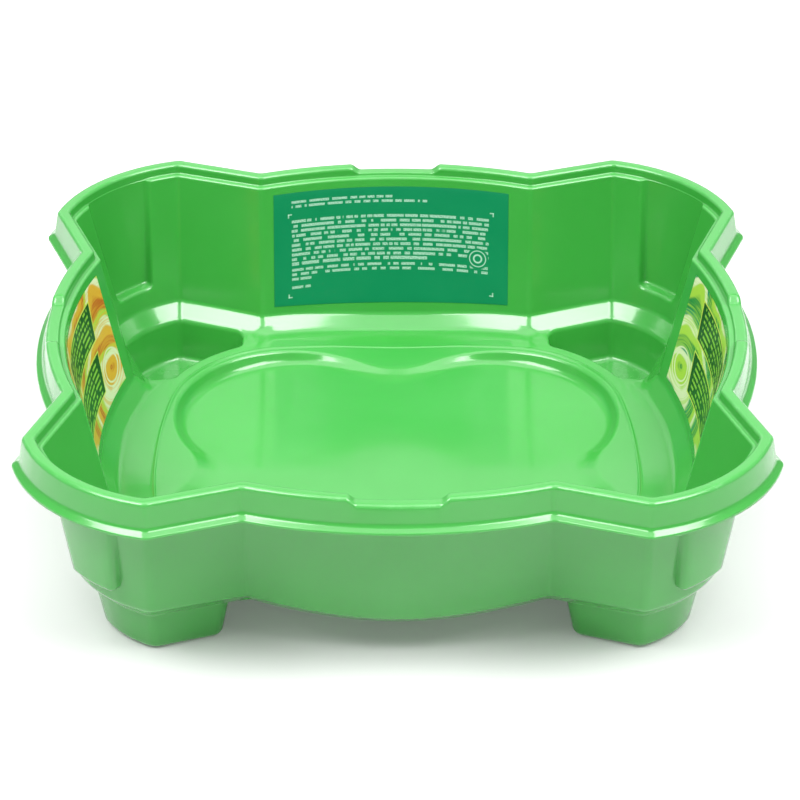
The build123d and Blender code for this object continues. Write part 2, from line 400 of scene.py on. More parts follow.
def rounded(points, trims, worn_and_highlit, steps=4, between=None):
    """Rows of points along lines with rounded corners.

    points is corners by columns by coordinates. Each inner corner becomes a circular arc that
    starts and ends trims away from it, less where a neighbour is close. between says how many
    plain rows follow a corner's arc. The second result says how much each row's edge is paled:
    scuffing with a painted highlight on the rounded edges.
    """
    between = between or {}
    rows, wear = [points[0]], [np.zeros(points.shape[1])]
    last = len(points) - 1

    def straight(first, second, corner):
        count = between.get(corner, 0)
        for k in range(count):
            rows.append(first + (second - first) * (k + 1) / (count + 1))
            wear.append(np.zeros(points.shape[1]))

    arcs = []
    for i in range(1, last):
        back, ahead = points[i - 1] - points[i], points[i + 1] - points[i]
        back_length = np.linalg.norm(back, axis=-1)
        ahead_length = np.linalg.norm(ahead, axis=-1)
        room = np.minimum(back_length * (END_ROOM if i == 1 else INNER_ROOM),
                          ahead_length * (END_ROOM if i == last - 1 else INNER_ROOM))
        trim = np.minimum(trims[i], room)[:, None]
        start = points[i] + back / back_length[:, None] * trim
        end = points[i] + ahead / ahead_length[:, None] * trim
        chord = np.linalg.norm(end - start, axis=-1)
        weight = np.clip(chord / (2 * trim[:, 0]), 0.02, 1)[:, None]
        arcs.append((start, points[i], end, weight))
    straight(points[0], arcs[0][0], 0)
    for i, (start, corner, end, weight) in enumerate(arcs, 1):
        for t in np.linspace(0, 1, steps + 1):
            a, b, c = (1 - t)**2, 2 * t * (1 - t) * weight, t**2
            rows.append((a * start + b * corner + c * end) / (a + b + c))
            # paling peaks mid-arc on sharp corners: a painted highlight on the rounded edge, with scuffing
            wear.append(worn_and_highlit[i] * math.sin(math.pi * t) * np.clip(SHARPEST * (1 - weight[:, 0]), 0, 1))
        following = arcs[i][0] if i < len(arcs) else points[last]
        straight(end, following, i)
    rows.append(points[last])
    wear.append(np.zeros(points.shape[1]))
    return np.array(rows), np.array(wear)


def all_round(eighth):
    """Rows for the whole tub, clockwise from the middle of the +Y side, from rows of one eighth."""
    quarter = np.concatenate([eighth, mirrored(eighth)], axis=1)
    return np.concatenate([turned(quarter, k) for k in range(4)], axis=1)


def turned(points, quarters):
    """Points turned clockwise about the middle by quarter turns."""
    c, s = [(1, 0), (0, 1), (-1, 0), (0, -1)][quarters]
    result = points.copy()
    result[..., 0] = c * points[..., 0] + s * points[..., 1]
    result[..., 1] = -s * points[..., 0] + c * points[..., 1]
    return result


def values_all_round(eighth):
    """A value for each column of one eighth, for the whole tub."""
    quarter = np.concatenate([eighth, eighth[:, -2:0:-1]], axis=1)
    return np.tile(quarter, (1, 4))


class TubSurface:
    """The tub's upper surface, from the flared lip over the rim and down to the bowl and wells."""

    DRAFT = 0.205               # lean of the walls, run over drop
    PANEL_DRAFT = 0.152
    PANEL_RISE = 13.4           # wall's foot to the panel's lower edge
    LEDGE_LEAN = 0.6
    LEDGE_WIDTH = 3.2
    BAND_RUN = 9.7
    BAND_SAG = 7.6              # how much lower the wall's foot is in the middle of a side
    BAND_SPREAD = 1.6           # how much further in the floor starts there
    LIP_FALL = 1.5              # the floor falls by this towards the bowl's edge
    LIP_FALL_REACH = 14.0
    BOWL_LEAN = 4.5
    WAIST_LEAN = 6.5            # how much more the bowl's side leans in at a waist
    DISH = 1.5                  # the bowl's floor is lower by this in the middle
    WELL_LEAN = 5.0
    CREASE_KINK = 1.3           # how far the crease above the floor is rounded
    CREASE_STEPS = (-3.0, -1.8, -0.6, 0.6, 1.8, 3.0)
    BEAD_WIDTH = 0.7
    BEAD_STEPS = (1.3, 0.65, 0.0, -0.65, -1.3)
    BEAD_CLEAR = 2.8            # bead to the last plain row outside it
    LIP_FOOT = 20.0             # rim's top to the lip's lower edge
    LIP_EDGE = 18.5             # and to its upper edge
    PANEL_SPREAD = 1.5          # half the height of the step at a panel's lower edge
    PANEL_SPREAD_CUT = 0.5      # share of that half which a panel takes off below
    PANEL_LEDGE_CUT = 0.9       # share of the ledge's width that a panel takes off
    PANEL_LEDGE_FALL = 0.3      # how much lower the ledge's inner edge is there
    PANEL_INSET = 16.0          # outline on which a panel's edges are placed
    SAG_INSET = 30.0            # outline whose angles tell how far the floor sags
    HOLE_ANGLE = math.radians(32.5)             # middle of a side to the start of a well's hole
    EDGE_START = -2.2           # inset from the bowl's edge where its rounding starts
    BOWL_FOOT_RUN = 9.0         # bowl's foot to the start of its dish
    BOWL_FOOT_FALL = 0.1
    DISH_SHARES = (0.85, 0.65, 0.42, 0.2, 0.06)
    WELL_START = -2.3           # inset from a well's edge where its rounding starts
    WELL_FOOT_RUN = 3.6         # well's foot to its flat floor
    FOOT_GAP = 0.03             # keeps the feet's underside off the ground
    HOLE_SHARES = (0.3, 0.6, 0.85)

    def __init__(self, sizes):
        self.plan = Plan(sizes)
        self.points, self.wear, self.faces = [], [], []
        self.count = 0

    # -- heights --

    @staticmethod
    def sag_at(angle):
        """1 in the middle of a side, falling to 0 at the corners."""
        return side_share(angle, 1.5)

    def wall_inset(self, level):
        """Inset of the wall's inner face at a level: the ledge's, plus the draft times the drop."""
        p = self.plan
        ledge_end = p.rim_land + self.LEDGE_LEAN + self.LEDGE_WIDTH
        return ledge_end + self.DRAFT * (p.height - p.ledge_drop - level)

    def creases(self, sag):
        """Inset and level of the crease under the wall and of the crease above the floor."""
        p = self.plan
        foot = p.wall_foot - self.BAND_SAG * sag
        floor = p.floor_top - p.sag * sag
        floor_inset = self.wall_inset(p.wall_foot) + self.BAND_RUN + self.BAND_SPREAD * sag
        return self.wall_inset(foot), foot, floor_inset, floor

    def ground(self, eighth):
        """Level of the band and the floor, with the bead, at points of the first eighth.

        The band falls evenly with the inset from the crease under the wall to the one above the
        floor. The floor falls a little more towards the bowl. The higher of the two counts, with the
        kink rounded, and the bead is a bell-shaped ridge along its line.
        """
        p = self.plan
        x, y = eighth[..., 0], eighth[..., 1]
        angle, reach = np.arctan2(x, y), np.hypot(x, y)
        sag = self.sag_at(angle)
        foot_inset, foot, floor_inset, floor = self.creases(sag)
        band = foot - (p.inset_at(x, y) - foot_inset) * (foot - floor) / (floor_inset - foot_inset)
        near = 1 - smooth_step(0, self.LIP_FALL_REACH, reach - p.bowl_at(angle, np.zeros_like(angle)))
        floor = floor - (self.LIP_FALL - sag) * near
        bead = p.bead_height * np.exp(-((reach - p.bead_at(angle)) / self.BEAD_WIDTH)**2)
        return soft_max(band, floor, self.CREASE_KINK) + bead

    def on_ground(self, eighth):
        """Plan points of the first eighth with their levels added."""
        return with_level(eighth, self.ground(eighth))

    # -- pieces --

    def rim_rows(self):
        """Lip, skirt, rim, ledge, wall with its corner panel, and half the band."""
        p = self.plan
        n = p.eighth_count
        across = p.eighth(np.full((1, n), self.SAG_INSET))[0]
        sag = self.sag_at(np.arctan2(across[:, 0], across[:, 1]))
        side = p.stretch == 0
        rim_x = np.where(side, p.eighth(np.zeros((1, n)))[0, :, 0], p.half_width)
        dip = 1 - smooth_step(p.dip_half - p.DIP_RAMP, p.dip_half + p.DIP_RAMP, rim_x)
        rim_top = p.height - p.dip_depth * dip
        panel_x = p.half_width - p.PANEL_REACH
        wall_x = p.eighth(np.full((1, n), self.PANEL_INSET))[0, :, 0]
        panel = smooth_step(panel_x - p.PANEL_EASE, panel_x + p.PANEL_EASE, wall_x)
        panel = np.where(p.stretch == 4, panel, 0)
        ledge = p.height - p.ledge_drop
        skirt_foot = p.height - p.skirt_drop
        recess_top = p.rim_land + self.LEDGE_LEAN
        panel_foot = p.wall_foot + self.PANEL_RISE
        recess_foot = recess_top + self.PANEL_DRAFT * (ledge - panel_foot)
        spread = self.PANEL_SPREAD
        under = panel_foot - spread * (1 - self.PANEL_SPREAD_CUT * panel)
        foot_inset, foot, floor_inset, floor = self.creases(sag)
        one = np.ones(n)
        wall_high = self.wall_inset(panel_foot + spread)
        corners = [
            (-LIP_REACH * one, (p.height - self.LIP_FOOT) * one),
            (-LIP_REACH * one, (p.height - self.LIP_EDGE) * one),
            (-p.skirt_draft * one, skirt_foot * one),
            (0 * one, rim_top),
            (p.rim_land * one, rim_top),
            (recess_top * one, ledge * one),
            (recess_top + self.LEDGE_WIDTH * (1 - self.PANEL_LEDGE_CUT * panel),
             ledge - self.PANEL_LEDGE_FALL * panel),
            (wall_high + (recess_foot - wall_high) * panel, panel_foot + spread * (1 - panel)),
            (self.wall_inset(under), under),
            (foot_inset, foot),
            ((foot_inset + floor_inset) / 2, (foot + floor) / 2),
        ]
        trims = [0, 0.7, 1.6, 2.3, 2.1, 1.0, 1.9, 1.8, 2.2, 1.8]
        # how much each corner's edge is paled: a painted highlight on the rounded edges, with scuffing
        worn_and_highlit = [0, 0.8, 0, 1, 0.9, 0, 0.7, 0, 0.5, 0]
        line = np.array([np.stack(c, -1) for c in corners])
        rows, wear = rounded(line, trims, worn_and_highlit, between={2: 1, 3: 1, 6: 3, 8: 1})
        plan = p.eighth(rows[..., 0])
        shell = with_level(plan, rows[..., 1])
        shell[-1, :, 2] = self.ground(plan[-1])
        return shell, wear, floor_inset

    def floor_rows(self, floor_inset):
        """From the crease above the floor in to the bowl's edge: the crease, the floor and the bead."""
        p = self.plan
        crease = p.eighth(floor_inset + np.array(self.CREASE_STEPS)[:, None])
        start = crease[-1]
        angle = np.arctan2(start[:, 0], start[:, 1])
        first, last = p.hole_start, p.eighth_count - 1
        hole, column = self.HOLE_ANGLE, np.arange(last + 1)
        even = hole + (math.pi / 4 - hole) * (column - first) / (last - first)
        angle = np.where(column <= first, angle * hole / angle[first], even)
        ray = ray_at(angle)
        bead = p.bead_at(angle)
        outside = (bead + self.BEAD_CLEAR)[:, None] * ray
        floor = [start + (outside - start) * t for t in (0.25, 0.5, 0.75, 1)]
        over = [(bead + step)[:, None] * ray for step in self.BEAD_STEPS]
        edge = p.bowl_at(angle, np.full_like(angle, self.EDGE_START))[:, None] * ray
        between = over[-1] + (edge - over[-1]) * 0.5
        plan = np.array([*crease, *floor, *over, between])
        return self.on_ground(plan), angle, len(crease) + len(floor)

    def bowl_rows(self, angle):
        """The bowl's edge, its side and its dished floor."""
        p = self.plan
        lean = self.BOWL_LEAN + self.WAIST_LEAN * side_share(angle, 4)
        ray = ray_at(angle)
        foot = p.bowl_floor - self.BOWL_FOOT_FALL

        def at(inset, level=None):
            plan = p.bowl_at(angle, inset)[:, None] * ray
            return self.on_ground(plan) if level is None else with_level(plan, level)

        corners = np.array([
            at(np.full_like(angle, self.EDGE_START)),
            at(np.zeros_like(angle)),
            at(lean, p.bowl_floor),
            at(lean + self.BOWL_FOOT_RUN, foot),
        ])
        # the bowl's rounded edge is paled: a painted highlight, with scuffing
        rows, wear = rounded(corners, [0, 2.1, 5.5], [0, 0.6, 0], steps=5)
        inner = rows[-1]
        shares = np.array(self.DISH_SHARES)
        extra = np.repeat(inner[None], len(shares), axis=0)
        extra[..., :2] *= shares[:, None, None]
        extra[..., 2] = foot - self.DISH * (1 - shares[:, None]**2)
        rows = np.concatenate([rows[1:], extra])
        wear = np.concatenate([wear[1:], np.zeros(extra.shape[:2])])
        return rows, wear

    def well_rings(self, border):
        """One corner well in the first quarter: rings from the hole's border down to the well's floor."""
        p = self.plan
        floor_inset = self.wall_inset(p.wall_foot) + self.BAND_RUN
        insets = [self.WELL_START, 0, self.WELL_LEAN, self.WELL_LEAN + self.WELL_FOOT_RUN]
        half = p.well_half(insets, floor_inset)
        top = self.on_ground(half[:2])
        corners = np.concatenate([top, with_level(half[2:], p.wall + self.FOOT_GAP)])
        # the well's rounded edge is paled: a painted highlight, with scuffing
        rows, wear = rounded(corners, [0, 2.2, 3.3], [0, 0.6, 0], steps=5, between={1: 2})
        rows, wear = rows[1:], wear[1:]
        edge = border[:half.shape[1]]
        spread = [edge[:, :2] + (rows[0, :, :2] - edge[:, :2]) * t for t in self.HOLE_SHARES]
        rows = np.concatenate([self.on_ground(np.array(spread)), rows])
        wear = np.concatenate([np.zeros((len(spread), rows.shape[1])), wear])
        wear = np.concatenate([wear, wear[:, -2:0:-1]], axis=1)
        return np.concatenate([rows, mirrored(rows)], axis=1), wear

    # -- the mesh --

    def add(self, rows, wear):
        """Keeps rows of points and returns their numbers."""
        numbers = self.count + np.arange(rows.shape[0] * rows.shape[1]).reshape(rows.shape[:2])
        self.points.append(rows.reshape(-1, 3))
        self.wear.append(wear.ravel())
        self.count += numbers.size
        return numbers

    @staticmethod
    def quads(a, b):
        """Faces between two closed rows of point numbers, b inside a, both clockwise."""
        return np.stack([a, b, np.roll(b, -1, axis=-1), np.roll(a, -1, axis=-1)], -1)

    def build(self):
        """Points, faces and edge paling of the whole upper surface: scuffing with a painted highlight."""
        p = self.plan
        rim, rim_wear, floor_inset = self.rim_rows()
        floor, angle, outside_bead = self.floor_rows(floor_inset)
        bowl, bowl_wear = self.bowl_rows(angle)
        eighth = np.concatenate([rim, floor, bowl])
        wear = np.concatenate([rim_wear, np.zeros(floor.shape[:2]), bowl_wear])
        grid = self.add(all_round(eighth), values_all_round(wear))
        top = len(rim) - 1                      # the hole starts at the band's middle row
        low = len(rim) + outside_bead - 1       # and ends just outside the bead
        quads = self.quads(grid[:-1], grid[1:])
        keep = np.ones(quads.shape[:2], bool)
        quarter = 2 * (p.eighth_count - 1)
        first, last = p.hole_start, quarter - p.hole_start
        for k in range(4):
            keep[top:low, k * quarter + first:k * quarter + last] = False
        self.faces += quads[keep].tolist()
        middle = self.add(np.array([[[0, 0, eighth[-1, 0, 2]]]]), np.zeros((1, 1)))[0, 0]
        ring = grid[-1]
        self.faces += np.stack([ring, np.full_like(ring, middle), np.roll(ring, -1)], -1).tolist()
        diagonal = p.eighth_count - 1
        for k in range(4):
            base = grid[:, k * quarter:k * quarter + last + 1]
            border = np.concatenate([
                base[top, diagonal:first - 1:-1],
                base[top + 1:low + 1, first],
                base[low, first + 1:last + 1],
                base[low - 1:top - 1:-1, last],
                base[top, last - 1:diagonal:-1],
            ])
            placed = np.concatenate(self.points)[border]
            rings, ring_wear = self.well_rings(turned(placed, (4 - k) % 4))
            numbers = self.add(turned(rings, k), ring_wear)
            loops = np.concatenate([border[None], numbers])
            self.faces += self.quads(loops[:-1], loops[1:])[..., ::-1].reshape(-1, 4).tolist()
            self.faces.append(numbers[-1].tolist())
        return np.concatenate(self.points) * MM, self.faces, np.concatenate(self.wear)


def new_piece(name, points, faces):
    """A smooth-shaded mesh object at the origin."""
    mesh = bpy.data.meshes.new(name)
    mesh.from_pydata(points.tolist(), [], faces)
    mesh.update()
    mesh.shade_smooth()
    piece = bpy.data.objects.new(name, mesh)
    bpy.context.scene.collection.objects.link(piece)
    return piece


def thicken(piece, thickness):
    """Gives a surface its wall, below it, and settles the shading of the flat parts."""
    solid = piece.modifiers.new("Wall", "SOLIDIFY")
    solid.thickness = thickness
    solid.offset = -1
    solid.use_even_offset = True
    solid.use_quality_normals = True
    weighted = piece.modifiers.new("Flat shading", "WEIGHTED_NORMAL")
    weighted.mode = "FACE_AREA"
    weighted.keep_sharp = False


LABEL_COLUMNS, LABEL_ROWS = 61, 25
LABEL_GAP = 0.04                             # a film's back to the wall


def label_sheet(sizes, labels, turn, shift):
    """Points, faces and print coordinates of one label on the inner face of a bulged wall.

    Across is the place along the side and up is the share of the label's height. The point is on
    the wall's arc at that level, off it by the film and the gap behind it. Print coordinates run
    from the label's left end as it is read, and up from the ends of its lower edge.
    """
    surface = TubSurface(sizes)
    p = surface.plan
    half, top, bottom, belly, film = [
        getattr(labels, name) / MM for name in ("half", "top", "bottom", "belly", "film")
    ]
    across, up = np.meshgrid(np.linspace(-half, half, LABEL_COLUMNS), np.linspace(0, 1, LABEL_ROWS))
    low = bottom - belly * (1 - (across / half)**2)
    level = low + (top - low) * up
    x = across + shift
    inset = surface.wall_inset(level) + film + LABEL_GAP
    y = p.side_middle[1] + np.sqrt((p.side_radius - inset)**2 - x**2)
    points = turned(np.stack([x, y, level], -1), turn)
    numbers = np.arange(x.size).reshape(x.shape)
    a, b, c, d = numbers[:-1, :-1], numbers[:-1, 1:], numbers[1:, 1:], numbers[1:, :-1]
    faces = np.stack([a, b, c, d], -1).reshape(-1, 4)
    printed = np.stack([across + half, level - bottom], -1).reshape(-1, 2)
    return points.reshape(-1, 3) * MM, faces.tolist(), printed * MM


# --- Materials ---

class Value:
    """A number that varies over a surface; sums and products of these add Math nodes."""

    def __init__(self, shader, socket):
        self.shader = shader
        self.socket = socket

    def math(self, operation, *others):
        return self.shader.node("ShaderNodeMath", {"operation": operation}, *[self, *others])

    def __add__(self, other):
        return self.math("ADD", other)

    def __sub__(self, other):
        return self.math("SUBTRACT", other)

    def __rsub__(self, other):
        return self.shader.node("ShaderNodeMath", {"operation": "SUBTRACT"}, other, self)

    def __mul__(self, other):
        return self.math("MULTIPLY", other)

    def __truediv__(self, other):
        return self.math("DIVIDE", other)

    def __abs__(self):
        return self.math("ABSOLUTE")

    __radd__ = __add__
    __rmul__ = __mul__

    def floor(self):
        return self.math("FLOOR")

    def wrapped(self):
        """The fractional part."""
        return self.math("FRACT")

    def above(self, level, ease=0.0):
        """1 where the value is over a level, eased over a width."""
        if not ease:
            return self.math("GREATER_THAN", level)
        settings = {"interpolation_type": "SMOOTHSTEP"}
        return self.shader.node("ShaderNodeMapRange", settings, self, level - ease, level + ease, 0.0, 1.0)

    def below(self, level, ease=0.0):
        return 1 - self.above(level, ease)

    def between(self, low, high, ease=0.0):
        return self.above(low, ease) * self.below(high, ease)


class Shader:
    """One material's node tree."""

    def __init__(self, name):
        self.material = bpy.data.materials.new(name)
        self.material.use_nodes = True
        self.tree = self.material.node_tree
        self.surface = self.tree.nodes["Principled BSDF"]

    def node(self, kind, settings=None, *values, output=0, **named):
        """Adds a node: its settings first, then the values or links of its sockets."""
        node = self.tree.nodes.new(kind)
        for name, value in (settings or {}).items():
            if name == "stops":
                self._set_stops(node.color_ramp, value)
            else:
                setattr(node, name, value)
        for key, value in [*enumerate(values), *named.items()]:
            socket = node.inputs[key.replace("_", " ") if isinstance(key, str) else key]
            if isinstance(value, Value):
                self.tree.links.new(value.socket, socket)
            elif value is not None:
                socket.default_value = value
        return Value(self, node.outputs[output])

    @staticmethod
    def _set_stops(ramp, stops):
        """Sets a ramp's places and colours."""
        while len(ramp.elements) < len(stops):
            ramp.elements.new(0.5)
        for element, (place, shade) in zip(ramp.elements, stops):
            element.position = place
            element.color = (*shade, 1)

    def ramp(self, value, *stops):
        return self.node("ShaderNodeValToRGB", {"stops": stops}, value)

    def mix(self, factor, first, second):
        """A colour between two colours."""
        settings = {"data_type": "RGBA", "clamp_factor": True}
        node = self.node("ShaderNodeMix", settings, output=2)
        inputs = node.socket.node.inputs
        for key, value in ((0, factor), (6, first), (7, second)):
            if isinstance(value, Value):
                self.tree.links.new(value.socket, inputs[key])
            else:
                inputs[key].default_value = value if key == 0 else (*value, 1)
        return node

    def place(self):
        """The place on the object, in metres."""
        return self.node("ShaderNodeTexCoord", output=3)

    def noise(self, place, scale, detail=2.0, roughness=0.5, distortion=0.0):
        return self.node("ShaderNodeTexNoise", None, Vector=place, Scale=scale, Detail=detail,
                         Roughness=roughness, Distortion=distortion)

    def parts(self, vector):
        """The three numbers of a vector."""
        node = self.node("ShaderNodeSeparateXYZ", None, vector).socket.node
        return [Value(self, out) for out in node.outputs]

    def join(self, x, y, z=0.0):
        return self.node("ShaderNodeCombineXYZ", None, x, y, z)

    def reach(self, x, y):
        """The length of a plane vector."""
        return self.node("ShaderNodeVectorMath", {"operation": "LENGTH"}, self.join(x, y), output=1)

    def print_place(self):
        """The place on a label in millimetres: along it as it is read, and up."""
        u, v, _ = self.parts(self.node("ShaderNodeUVMap", {"uv_map": "print"}))
        return u / MM, v / MM

    def attribute(self, name):
        return self.node("ShaderNodeAttribute", {"attribute_name": name}, output=2)

    def bump(self, height, strength, distance, under=None):
        named = {"Strength": strength, "Distance": distance, "Height": height}
        if under is not None:
            named["Normal"] = under
        return self.node("ShaderNodeBump", None, **named)

    def finish(self, **sockets):
        """Sets the surface shader's sockets and returns the material."""
        for name, value in sockets.items():
            socket = self.surface.inputs[name.replace("_", " ")]
            if isinstance(value, Value):
                self.tree.links.new(value.socket, socket)
            else:
                socket.default_value = value
        return self.material


def moulding_material(finish):
    """Glossy injection-moulded plastic with faint flow marks, soft waviness, scuffed feet, and edges paled by
    scuffing and a painted highlight.
    """
    s = Shader("glossy_green_moulding")
    place = s.place()
    x, y, z = s.parts(place)
    flow = s.noise(place, 9.0, 3.0, 0.55, 0.6)
    cloud = s.noise(place, 38.0, 2.0)
    body = s.mix(flow.above(0.5, 0.3), finish.moulding_deep[:], finish.moulding[:])
    # the edge attribute pales the sharp rounded edges: a painted highlight, with scuffing that also roughens
    # them; the feet's undersides are paled and roughened as real scuffs
    wear = s.attribute("edge_wear")
    patch = s.noise(place, 70.0, 4.0, 0.65).above(0.56, 0.14)
    worn_and_highlit = wear * (0.35 + 0.5 * patch)
    feet = z.below(0.0035, 0.002) * (0.35 + 0.4 * patch)
    shade = s.mix(worn_and_highlit * 0.75 + feet * 0.6, body, finish.worn_and_highlit[:])
    fine = s.noise(place, 900.0, 2.0)
    grain = s.noise(s.join(x * 260.0, y * 260.0, z * 18.0), 1.0, 3.0, 0.6)
    rub = s.noise(s.join(x * 30.0, y * 900.0, z * 30.0), 1.0, 2.0).above(0.69, 0.03)
    rough = 0.15 + 0.06 * cloud + 0.12 * worn_and_highlit + 0.20 * feet + 0.08 * rub * flow
    skin = s.bump(fine, 0.05, 0.0002)
    wave = s.bump(s.noise(place, 26.0, 1.0), 0.10, 0.0012, skin)
    drag = s.bump(grain, 0.03, 0.0003, wave)
    return s.finish(Base_Color=shade, Roughness=rough, Normal=drag, IOR=1.5, Specular_IOR_Level=0.5,
                    Coat_Weight=0.5, Coat_Roughness=0.09,
                    Subsurface_Weight=0.2, Subsurface_Scale=0.003, Subsurface_Radius=(0.3, 1.0, 0.35))


def film_finish(s, colour_value):
    """The sheen of a printed film: satin, a little uneven, with print that catches the light."""
    place = s.place()
    cloud = s.noise(place, 60.0, 3.0)
    fine = s.noise(place, 1400.0, 1.0)
    rough = 0.26 + 0.10 * cloud
    normal = s.bump(fine, 0.04, 0.0001, s.bump(cloud, 0.06, 0.0008))
    return s.finish(Base_Color=colour_value, Roughness=rough, Normal=normal, IOR=1.48, Coat_Weight=0.15,
                    Coat_Roughness=0.1)


RING_U, RING_V = 132.4, 28.2                 # middle of the back print's ring
FRAME_U, FRAME_V = 75.9, 31.8                # middle of its corner brackets
FRAME_HALF_U, FRAME_HALF_V = 66.4, 27.3
BRACKET_HALF, BRACKET_ARM = 0.4, 2.2         # half a bracket's line width, and how far its arms reach
PRINT_ROWS = (
    # first row's height and how many, pitch, left and right ends, half a row's height, and the level
    # that the word noise has to pass: a higher one leaves wider gaps
    (67.0, 1, 3.0, 11.5, 77.0, 0.80, 0.42),
    (64.1, 1, 3.0, 11.5, 99.5, 0.80, 0.42),
    (54.3, 9, 3.12, 11.5, 139.5, 0.90, 0.42),
    (26.4, 1, 3.0, 11.5, 99.5, 1.05, 0.30),
    (22.4, 2, 3.0, 11.5, 139.0, 0.85, 0.42),
    (16.3, 1, 3.0, 11.5, 24.0, 0.85, 0.30),
    (10.8, 1, 3.0, 11.5, 23.5, 0.85, 0.30),
)


def back_print_material(finish):
    """A deep green film with rows of fine broken dashes, corner brackets and a plain double ring."""
    s = Shader("back_print")
    u, v = s.print_place()
    strokes = s.noise(s.join(u * 2.1, v * 1.5), 1.0, 1.0)
    ink = None
    for high, count, pitch, left, right, half, gap in PRINT_ROWS:
        low = high - pitch * (count - 1)
        rows = (v - (low - pitch / 2)) / pitch
        in_row = abs(rows.wrapped() - 0.5).below(half / pitch, 0.05)
        words = s.noise(s.join(u * 0.34, rows.floor() * 7.3 + high), 1.0, 0.0)
        span = u.between(left, right, 0.2) * v.between(low - pitch / 2, high + pitch / 2)
        row = in_row * span * words.above(gap, 0.02) * (0.35 + 0.65 * strokes.above(0.47, 0.06))
        ink = row if ink is None else ink + row
    reach = s.reach(u - RING_U, v - RING_V)
    ring_ground = reach.below(7.0, 0.2)
    ring = reach.between(4.9, 5.5, 0.12) + reach.between(2.0, 3.0, 0.12)
    from_u, from_v = abs(u - FRAME_U), abs(v - FRAME_V)
    corner_u, corner_v = abs(from_u - FRAME_HALF_U), abs(from_v - FRAME_HALF_V)
    outer = from_u.below(FRAME_HALF_U + BRACKET_HALF) * from_v.below(FRAME_HALF_V + BRACKET_HALF)
    arms = corner_u.below(BRACKET_HALF) * corner_v.below(BRACKET_ARM)
    arms = arms + corner_v.below(BRACKET_HALF) * corner_u.below(BRACKET_ARM)
    bracket = arms * outer
    ink = ink * (1 - ring_ground) + ring + bracket * 0.8
    tone = s.noise(s.place(), 30.0, 2.0)
    ground = s.mix(tone.above(0.5, 0.3) * 0.35, finish.back_ground[:], (0.004, 0.24, 0.10))
    return film_finish(s, s.mix(ink * 0.85, ground, finish.print_ink[:]))


PRINT_LENGTH = 152.0                         # a side print's length
SWIRL_U, SWIRL_V = 138.0, 16.0               # middle of its swirls
PANEL_LEAN = 0.18
PANEL_ROW_PITCH = 3.9
PANEL_TRIM, PANEL_GROUND, PANEL_INK = (0.62, 0.68, 0.10), (0.006, 0.045, 0.010), (0.28, 0.55, 0.05)
PRINT_PANELS = (
    # left and right ends, lower and upper edges
    (38.0, 119.0, 42.0, 65.5),
    (48.0, 118.0, 9.0, 34.0),
)


def side_print_material(name, warm, bright, pale, accent, mirrored):
    """An abstract print: broad swirls in four colours behind two dark panels with rows of lime dashes."""
    s = Shader(name)
    u, v = s.print_place()
    if mirrored:
        u = PRINT_LENGTH - u
    drift = s.noise(s.join(u * 0.02, v * 0.02), 1.0, 1.0)
    bend = s.reach(u - SWIRL_U, (v - SWIRL_V) * 1.2)
    swirl = (bend / 34.0 + drift * 2.2 + v / 90.0).wrapped()
    streak = s.noise(s.join(bend * 0.55, (u + v) * 0.02), 1.0, 2.0)
    ground = s.ramp(swirl, (0.0, warm), (0.22, warm), (0.30, bright), (0.48, bright), (0.54, pale),
                    (0.72, pale), (0.78, accent), (0.92, accent), (1.0, warm))
    ground = s.mix(streak.above(0.52, 0.05) * 0.6, ground, bright)
    loop = abs(bend - 4.0 - drift * 14.0).below(0.7, 0.4) + abs(bend - 9.0 - drift * 10.0).below(0.6, 0.4)
    ground = s.mix(loop, ground, pale)
    shade = ground
    leaning = u - v * PANEL_LEAN
    for left, right, low, high in PRINT_PANELS:
        trim = leaning.between(left - 1.0, right + 1.0, 0.25) * v.between(low - 1.0, high + 1.0, 0.25)
        panel = leaning.between(left, right, 0.25) * v.between(low, high, 0.25)
        rows = (v - low) / PANEL_ROW_PITCH
        rib = abs(rows.wrapped() - 0.5).below(0.22, 0.07) * leaning.between(left + 5.0, right - 5.0, 0.3)
        words = s.noise(s.join(u * 0.32, rows.floor() * 7.3 + low), 1.0, 0.0).above(0.42, 0.03)
        shade = s.mix(trim, shade, PANEL_TRIM)
        shade = s.mix(panel, shade, PANEL_GROUND)
        shade = s.mix(panel * rib * words * 0.9, shade, PANEL_INK)
    return film_finish(s, shade)


# --- Operators ---

class PLAYTUB_OT_tub(bpy.types.Operator):
    """Make the moulded tub"""
    bl_idname = "playtub.tub"
    bl_label = "Tub"

    def execute(self, context):
        sizes = context.scene.play_tub_sizes
        points, faces, wear = TubSurface(sizes).build()
        piece = new_piece("moulded_tub", points, faces)
        # the attribute carries the edge paling: scuffing with a painted highlight on the rounded edges
        edge = piece.data.attributes.new("edge_wear", "FLOAT", "POINT")
        edge.data.foreach_set("value", wear.astype(np.float32))
        thicken(piece, sizes.wall)
        piece.data.materials.append(moulding_material(context.scene.play_tub_finish))
        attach(piece, BODY)
        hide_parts("tub")
        return {"FINISHED"}


